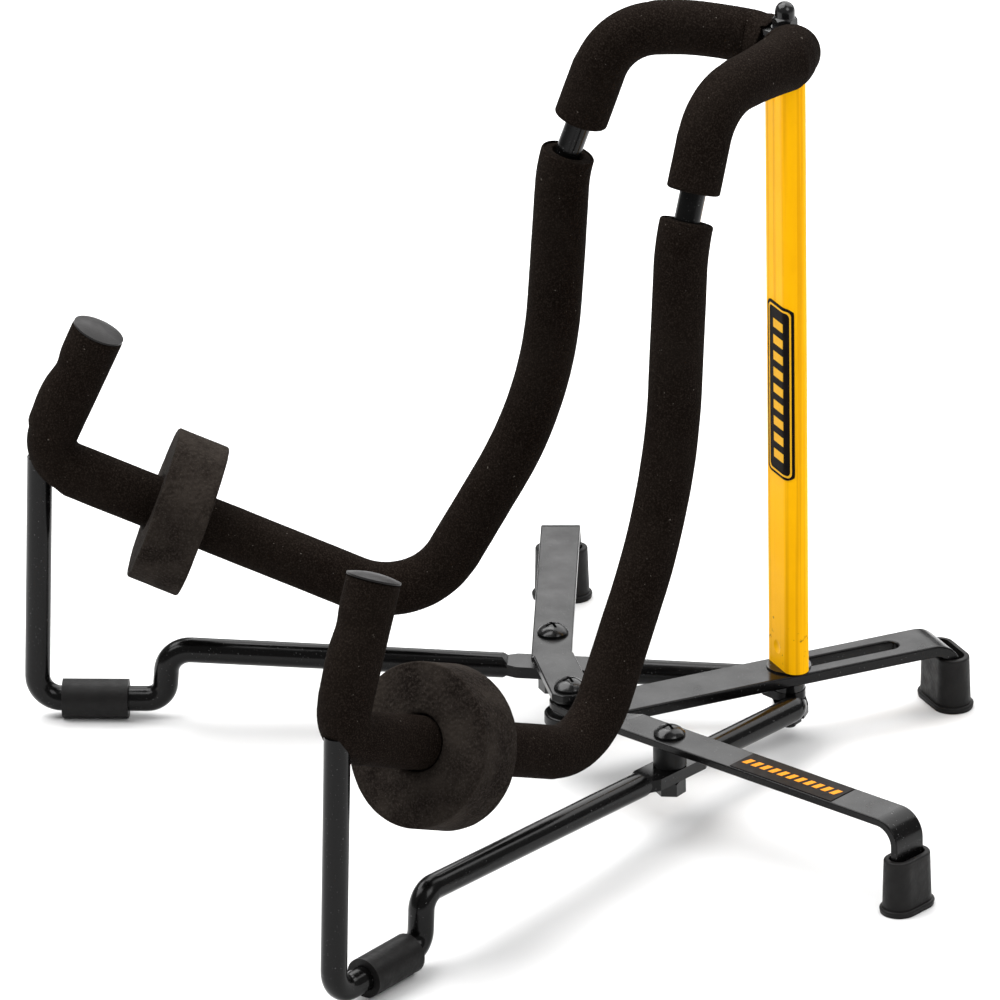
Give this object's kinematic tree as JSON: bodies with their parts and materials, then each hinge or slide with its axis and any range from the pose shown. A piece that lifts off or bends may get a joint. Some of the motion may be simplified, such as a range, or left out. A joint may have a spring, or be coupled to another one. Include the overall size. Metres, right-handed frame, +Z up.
{
  "type": "folding guitar stand",
  "caption": "Low A-frame floor stand for a guitar: two bent-rod gates with foam sleeves and stop discs hinge on an upright post; side legs and a slotted rear leg fold with them.",
  "frame": {"origin": "centre of the stand's footprint box on the floor, under the open stand", "axes": "+Z up; the instrument's side and the gates towards -Y, the rear leg towards +Y, the right gate towards +X"},
  "size_m": [0.3214, 0.3235, 0.29],
  "materials": {
    "rod_coat": "satin black powder coat on steel rod",
    "bar_coat": "satin black powder coat on flat steel bar",
    "post_paint": "yellow-orange powder coat with light orange peel",
    "foam": "matte black foam with fine light speckle",
    "sponge": "matte dark grey sponge rubber, coarse open grain on the rim",
    "cap_plastic": "satin dark grey moulded plastic",
    "foot_rubber": "dark grey moulded rubber",
    "spacer_plastic": "black nylon",
    "hardware_black": "black-finished steel fixings, slight gloss",
    "badge_black": "plain black sticker plate with a thin yellow inner border, a column of plain yellow bars and no lettering",
    "leg_print": "plain black sticker with a row of small orange dashes and no lettering"
  },
  "bodies": {
    "post": {"post_tube": "post_paint", "post_badge": "badge_black", "top_insert": "hardware_black", "bottom_insert": "hardware_black", "top_stud": "hardware_black", "bottom_stud": "hardware_black", "top_spacer": "spacer_plastic", "top_washer": "hardware_black", "acorn_nut": "hardware_black", "post_washer": "hardware_black", "hinge_bush": "hardware_black", "hinge_washer": "hardware_black", "hinge_nut": "hardware_black"},
    "right_gate": {"right_arm_rod": "rod_coat", "right_base_rod": "rod_coat", "right_upper_foam": "foam", "right_lower_foam": "foam", "right_tip_cap": "cap_plastic", "right_floor_sleeve": "foot_rubber", "right_leg_spacer": "spacer_plastic", "right_leg_screw": "hardware_black", "right_leg_nut": "hardware_black"},
    "left_gate": {"left_arm_rod": "rod_coat", "left_base_rod": "rod_coat", "left_upper_foam": "foam", "left_lower_foam": "foam", "left_tip_cap": "cap_plastic", "left_floor_sleeve": "foot_rubber", "left_leg_spacer": "spacer_plastic", "left_leg_screw": "hardware_black", "left_leg_nut": "hardware_black"},
    "rear_leg": {"rear_bar": "bar_coat", "rear_foot": "foot_rubber", "middle_screw": "hardware_black", "middle_washers": "hardware_black", "middle_nut": "hardware_black"},
    "right_leg": {"right_leg_bar": "bar_coat", "right_foot": "foot_rubber", "right_leg_decal": "leg_print"},
    "left_leg": {"left_leg_bar": "bar_coat", "left_foot": "foot_rubber"},
    "right_disc": {"right_stop_disc": "sponge"},
    "left_disc": {"left_stop_disc": "sponge"}
  },
  "joints": [
    {"name": "right_gate_hinge", "type": "hinge", "parent": "post", "child": "right_gate", "pos_m": [0, 0.08904, 0.274], "axis": [0, 0, -1], "range_deg": [0, 17.4]},
    {"name": "left_gate_hinge", "type": "hinge", "parent": "post", "child": "left_gate", "pos_m": [0, 0.08904, 0.274], "axis": [0, 0, 1], "range_deg": [0, 17.4]},
    {"name": "rear_leg_slide", "type": "slide", "parent": "post", "child": "rear_leg", "axis": [0, -1, 0], "range_m": [0, 0.0413]},
    {"name": "right_leg_hinge", "type": "hinge", "parent": "right_gate", "child": "right_leg", "pos_m": [0.05044, 0.0163, 0.0332], "axis": [0, 0, 1], "range_deg": [0, 59.5]},
    {"name": "left_leg_hinge", "type": "hinge", "parent": "left_gate", "child": "left_leg", "pos_m": [-0.05044, 0.0163, 0.0332], "axis": [0, 0, -1], "range_deg": [0, 59.5]},
    {"name": "right_disc_slide", "type": "slide", "parent": "right_gate", "child": "right_disc", "axis": [0.4241, -0.8169, 0.3909], "range_m": [-0.0495, 0.0297]},
    {"name": "left_disc_slide", "type": "slide", "parent": "left_gate", "child": "left_disc", "axis": [-0.4226, -0.8139, 0.3987], "range_m": [-0.0534, 0.0276]}
  ],
  "couplings": [
    {"joint": "left_gate_hinge", "follows": "right_gate_hinge", "ratio": 1},
    {"joint": "rear_leg_slide", "follows": "right_gate_hinge", "m_per_rad": 0.1357},
    {"joint": "right_leg_hinge", "follows": "right_gate_hinge", "ratio": 3.41},
    {"joint": "left_leg_hinge", "follows": "right_gate_hinge", "ratio": 3.41}
  ]
}
